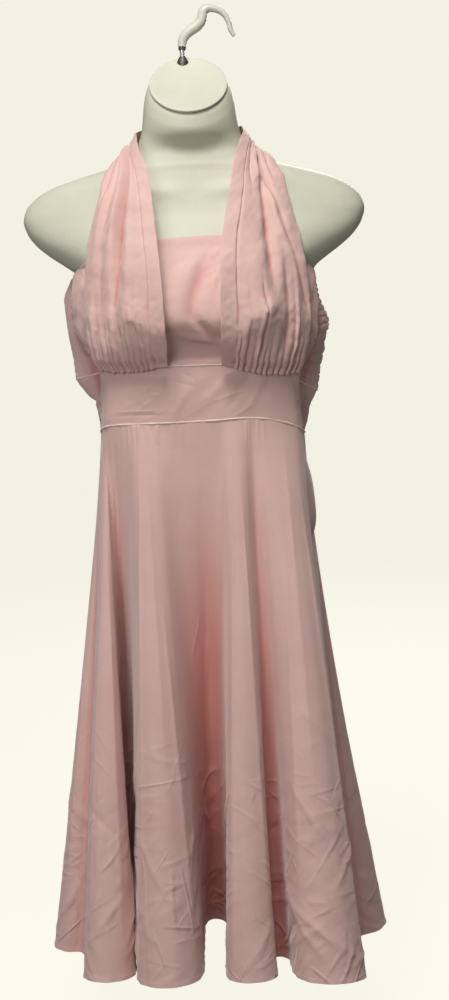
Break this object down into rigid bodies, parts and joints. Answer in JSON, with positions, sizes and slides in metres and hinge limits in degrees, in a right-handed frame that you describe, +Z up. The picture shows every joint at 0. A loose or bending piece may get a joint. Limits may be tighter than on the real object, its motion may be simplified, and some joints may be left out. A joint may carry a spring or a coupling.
{
  "type": "halter-neck midi dress on a hanging dress form",
  "caption": "Halter-neck midi dress with gathered bust panels, a strapless bodice, a waistband and a flared skirt, worn by a limbless dress form that hangs by its hook.",
  "frame": {"origin": "The inside of the hook's crown, where it rests on a rail.", "axes": "+X to the viewer's right, +Y to the dress's back, +Z up. The form's axis is vertical at x -0.032 m, y -0.036 m."},
  "size_m": [0.4176, 0.3989, 1.1411],
  "materials": {
    "dress_cloth": "pale pink plain-weave cloth with a slight sheen",
    "form_shell": "matt greyish ivory shell",
    "neck_cap": "matt ivory, a little lighter than the shell",
    "hook_plastic": "smooth white moulding",
    "stem_metal": "bright metal"
  },
  "bodies": {
    "root": {"form_torso": "form_shell", "form_cap": "neck_cap", "hook_stem": "stem_metal", "hook_crook": "hook_plastic", "waistband_front": "dress_cloth", "waistband_back": "dress_cloth", "bodice_front": "dress_cloth", "bodice_back": "dress_cloth", "halter_left": "dress_cloth", "halter_right": "dress_cloth", "skirt_front": "dress_cloth", "skirt_back": "dress_cloth"}
  },
  "joints": []
}
